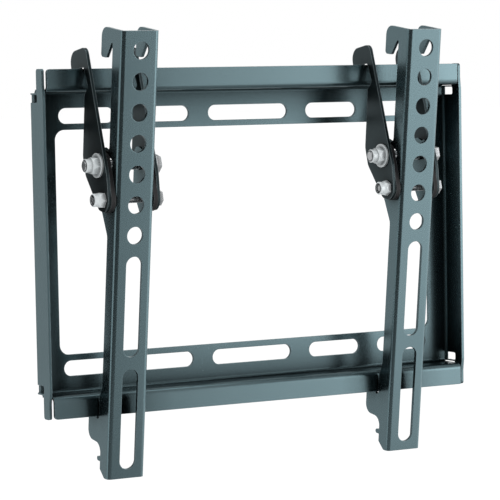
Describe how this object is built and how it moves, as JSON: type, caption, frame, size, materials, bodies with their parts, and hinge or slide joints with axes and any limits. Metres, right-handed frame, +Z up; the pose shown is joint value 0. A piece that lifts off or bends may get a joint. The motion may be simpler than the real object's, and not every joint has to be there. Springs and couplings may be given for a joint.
{
  "type": "tilting tv wall mount",
  "caption": "Tilting wall mount for a flat screen: folded steel wall plate with slotted rails and hooked lever arms with screen holes.",
  "frame": {"origin": "middle of the wall plate on its back face, where it lies against the wall", "axes": "+X to the right as seen from the room, +Y into the wall, +Z up"},
  "size_m": [0.246, 0.0513, 0.2219],
  "materials": {
    "plate_coat": "black satin powder coat",
    "arm_coat": "black satin powder coat",
    "lever_coat": "black satin powder coat",
    "friction_plastic": "black matt",
    "zinc": "bright zinc plated"
  },
  "bodies": {
    "wall": {"wall_plate": "plate_coat"},
    "left_levers": {"left_outer_lever": "lever_coat", "left_inner_lever": "lever_coat", "left_outer_friction_plate": "friction_plastic", "left_inner_friction_plate": "friction_plastic", "left_outer_washer": "zinc", "left_inner_washer": "zinc", "left_lock_bolt": "zinc", "left_lock_nut": "zinc", "left_pivot_bolt": "zinc", "left_pivot_nut": "zinc"},
    "left_arm": {"left_arm": "arm_coat"},
    "right_levers": {"right_outer_lever": "lever_coat", "right_inner_lever": "lever_coat", "right_outer_friction_plate": "friction_plastic", "right_inner_friction_plate": "friction_plastic", "right_outer_washer": "zinc", "right_inner_washer": "zinc", "right_lock_bolt": "zinc", "right_lock_nut": "zinc", "right_pivot_bolt": "zinc", "right_pivot_nut": "zinc"},
    "right_arm": {"right_arm": "arm_coat"}
  },
  "joints": [
    {"name": "left_lever_swing", "type": "hinge", "parent": "wall", "child": "left_levers", "pos_m": [-0.08676, -0.01595, 0.0857], "axis": [1, 0, 0], "range_deg": [0, 10]},
    {"name": "left_arm_tilt", "type": "hinge", "parent": "left_levers", "child": "left_arm", "pos_m": [-0.08676, -0.03482, 0.02202], "axis": [1, 0, 0], "range_deg": [-16.21, 0]},
    {"name": "right_lever_swing", "type": "hinge", "parent": "wall", "child": "right_levers", "pos_m": [0.0773, -0.01595, 0.0857], "axis": [1, 0, 0], "range_deg": [0, 10]},
    {"name": "right_arm_tilt", "type": "hinge", "parent": "right_levers", "child": "right_arm", "pos_m": [0.0773, -0.03482, 0.02202], "axis": [1, 0, 0], "range_deg": [-16.21, 0]}
  ],
  "couplings": [
    {"joint": "left_arm_tilt", "follows": "left_lever_swing", "ratio": -1.62},
    {"joint": "right_arm_tilt", "follows": "right_lever_swing", "ratio": -1.62}
  ]
}
